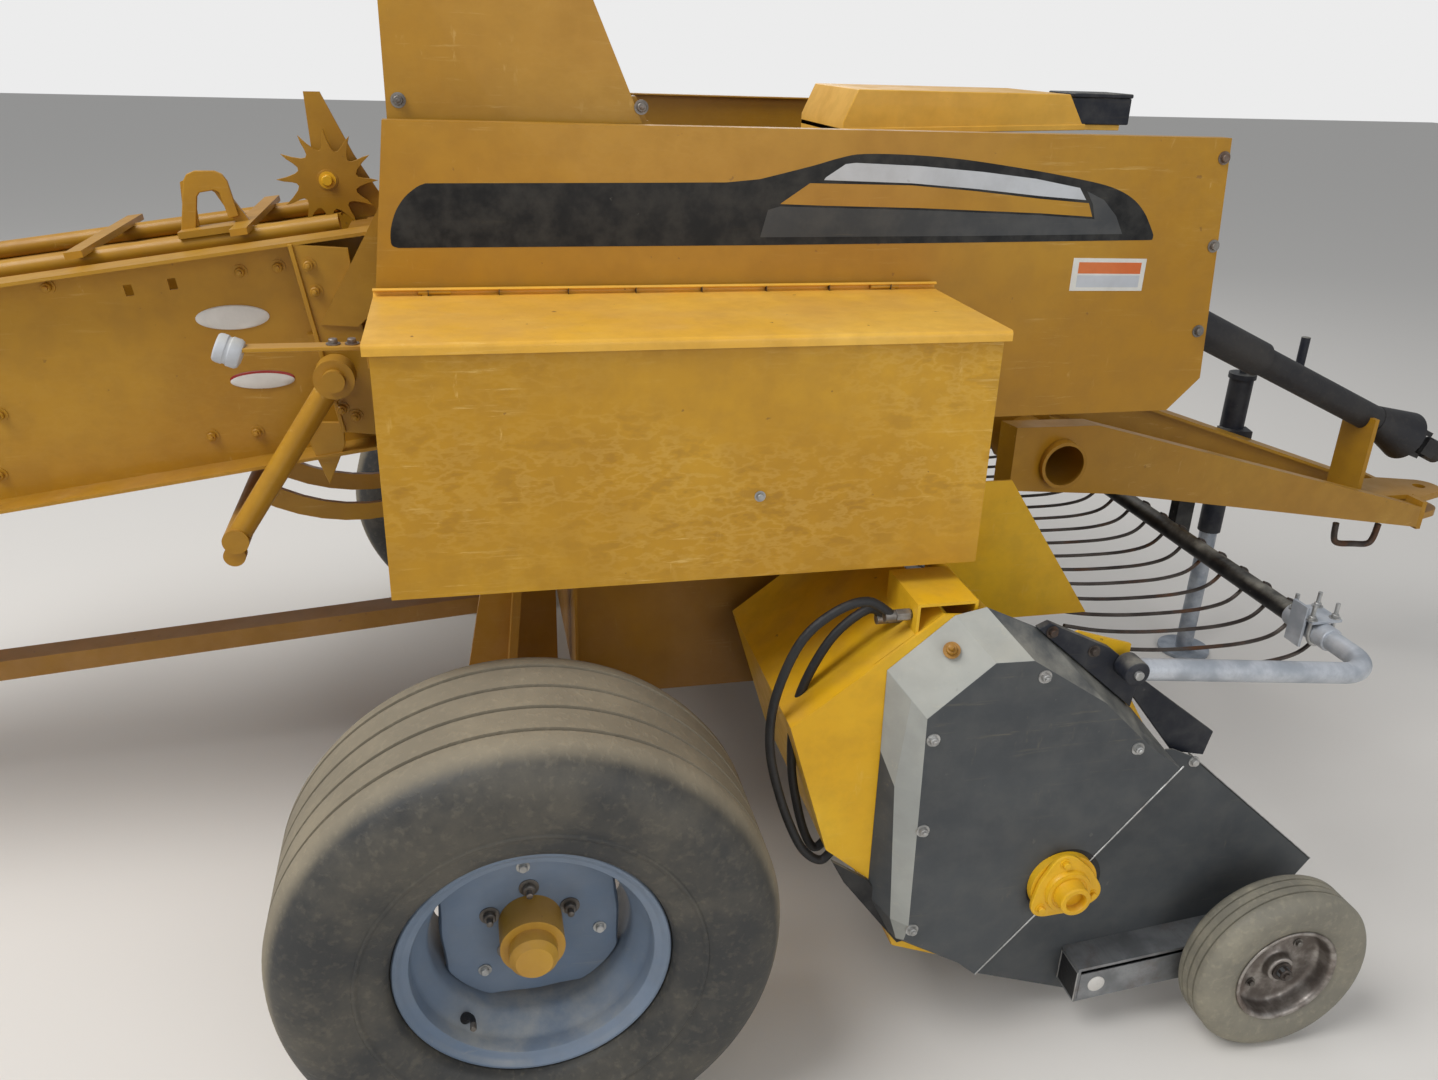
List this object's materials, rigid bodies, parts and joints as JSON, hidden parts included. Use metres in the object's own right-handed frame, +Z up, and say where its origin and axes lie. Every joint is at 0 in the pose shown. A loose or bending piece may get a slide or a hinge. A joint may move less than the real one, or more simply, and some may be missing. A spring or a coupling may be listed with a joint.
{
  "type": "small square baler",
  "caption": "Trailed small square baler with a straight bale chamber over its axle, a wide tined pickup with gauge wheels, twine boxes, knotters, tongue and jack.",
  "frame": {"origin": "on the ground, under the middle of the machine's length and width", "axes": "+X forward to the hitch, +Y to the machine's left, +Z up"},
  "size_m": [5, 2.32, 1.86],
  "materials": {
    "ochre_paint": "semi-gloss enamel, weathered",
    "charcoal_paint": "satin enamel, scuffed",
    "rim_paint": "satin silver enamel",
    "hub_paint": "semi-gloss enamel",
    "galvanised": "dull zinc",
    "bare_steel": "worn",
    "black_paint": "satin enamel",
    "guard_plastic": "matt",
    "hose_rubber": "matt",
    "tyre": "matt, dusty",
    "lamp_lens": "gloss"
  },
  "bodies": {
    "chassis": {"axle_beam": "ochre_paint", "axle_stands": "ochre_paint", "chamber_side_right": "ochre_paint", "chamber_side_left": "ochre_paint", "chamber_floor": "ochre_paint", "chamber_roof": "ochre_paint", "tension_rails": "ochre_paint", "tension_yoke": "ochre_paint", "plunger": "bare_steel", "pull_beam": "ochre_paint", "feeder_housing": "ochre_paint", "gearbox": "ochre_paint", "front_hood": "ochre_paint", "panel_brackets": "ochre_paint", "side_panel_right": "ochre_paint", "side_panel_left": "ochre_paint", "twine_box_right": "ochre_paint", "twine_box_left": "ochre_paint", "knotter_frame": "ochre_paint", "knotters": "bare_steel", "lamp_right": "lamp_lens", "lamp_left": "lamp_lens", "tongue_rail_right": "ochre_paint", "tongue_rail_left": "ochre_paint", "tongue_hitch": "ochre_paint", "driveline": "guard_plastic", "jack_tube": "charcoal_paint"},
    "pickup": {"pickup_frame": "ochre_paint", "strippers": "galvanised", "end_shield_right": "charcoal_paint", "end_shield_left": "charcoal_paint", "front_skirt_right": "charcoal_paint", "front_skirt_left": "charcoal_paint", "gauge_arm_right": "bare_steel", "gauge_arm_left": "bare_steel", "guard_brackets": "black_paint", "pickup_hoses": "hose_rubber"},
    "twine_lid_right": {"twine_lid_right": "ochre_paint"},
    "twine_lid_left": {"twine_lid_left": "ochre_paint"},
    "knotter_cover": {"knotter_cover": "ochre_paint"},
    "star_wheel": {"star_wheel": "ochre_paint"},
    "needle_yoke": {"needle_yoke": "ochre_paint"},
    "flywheel": {"flywheel": "charcoal_paint"},
    "jack_leg": {"jack_leg": "galvanised"},
    "bale_chute": {"bale_chute": "ochre_paint"},
    "reel": {"reel": "black_paint"},
    "auger": {"auger": "bare_steel"},
    "windguard": {"windguard": "galvanised"},
    "gauge_right": {"gauge_tyre_right": "tyre", "gauge_rim_right": "bare_steel"},
    "wheel_right": {"tyre_right": "tyre", "rim_right": "rim_paint", "hub_right": "hub_paint"},
    "gauge_left": {"gauge_tyre_left": "tyre", "gauge_rim_left": "bare_steel"},
    "wheel_left": {"tyre_left": "tyre", "rim_left": "rim_paint", "hub_left": "hub_paint"}
  },
  "joints": [
    {"name": "wheel_right_spin", "type": "hinge", "parent": "chassis", "child": "wheel_right", "pos_m": [-0.05, -0.9785, 0.39], "axis": [0, 1, 0], "continuous": true},
    {"name": "gauge_right_spin", "type": "hinge", "parent": "pickup", "child": "gauge_right", "pos_m": [1.275, -1.114, 0.17], "axis": [0, 1, 0], "continuous": true},
    {"name": "wheel_left_spin", "type": "hinge", "parent": "chassis", "child": "wheel_left", "pos_m": [-0.05, 0.9785, 0.39], "axis": [0, 1, 0], "continuous": true},
    {"name": "gauge_left_spin", "type": "hinge", "parent": "pickup", "child": "gauge_left", "pos_m": [1.275, 1.114, 0.17], "axis": [0, 1, 0], "continuous": true},
    {"name": "reel_spin", "type": "hinge", "parent": "pickup", "child": "reel", "pos_m": [0.86, 0, 0.354], "axis": [0, 1, 0], "continuous": true},
    {"name": "auger_spin", "type": "hinge", "parent": "chassis", "child": "auger", "pos_m": [0.61, 0, 0.7], "axis": [0, 1, 0], "continuous": true},
    {"name": "flywheel_spin", "type": "hinge", "parent": "chassis", "child": "flywheel", "pos_m": [1.06, 0, 1.29], "axis": [1, 0, 0], "continuous": true},
    {"name": "star_wheel_spin", "type": "hinge", "parent": "chassis", "child": "star_wheel", "pos_m": [-0.34237, 0, 1.40151], "axis": [0, 1, 0], "continuous": true},
    {"name": "pickup_lift", "type": "hinge", "parent": "chassis", "child": "pickup", "pos_m": [0.61, 0, 0.7], "axis": [0, -1, 0], "range_deg": [0, 12]},
    {"name": "windguard_swing", "type": "hinge", "parent": "pickup", "child": "windguard", "pos_m": [0.94, 0, 0.752], "axis": [0, -1, 0], "range_deg": [-18, 0]},
    {"name": "twine_lid_left_swing", "type": "hinge", "parent": "chassis", "child": "twine_lid_left", "pos_m": [0.235, 0.5943, 1.299], "axis": [1, 0, 0], "range_deg": [0, 90]},
    {"name": "twine_lid_right_swing", "type": "hinge", "parent": "chassis", "child": "twine_lid_right", "pos_m": [0.235, -0.5943, 1.299], "axis": [-1, 0, 0], "range_deg": [0, 90]},
    {"name": "knotter_cover_swing", "type": "hinge", "parent": "chassis", "child": "knotter_cover", "pos_m": [0.212, 0, 1.535], "axis": [0, 1, 0], "range_deg": [0, 70]},
    {"name": "needle_swing", "type": "hinge", "parent": "chassis", "child": "needle_yoke", "pos_m": [-0.33, 0, 1.1], "axis": [0, -1, 0], "range_deg": [0, 72]},
    {"name": "chute_fold", "type": "hinge", "parent": "chassis", "child": "bale_chute", "pos_m": [-1.7025, 0, 0.74685], "axis": [0, 1, 0], "range_deg": [0, 80]},
    {"name": "jack_slide", "type": "slide", "parent": "chassis", "child": "jack_leg", "axis": [0, 0, 1], "range_m": [0, 0.3]}
  ],
  "couplings": [
    {"joint": "windguard_swing", "follows": "pickup_lift", "ratio": -1.5}
  ]
}
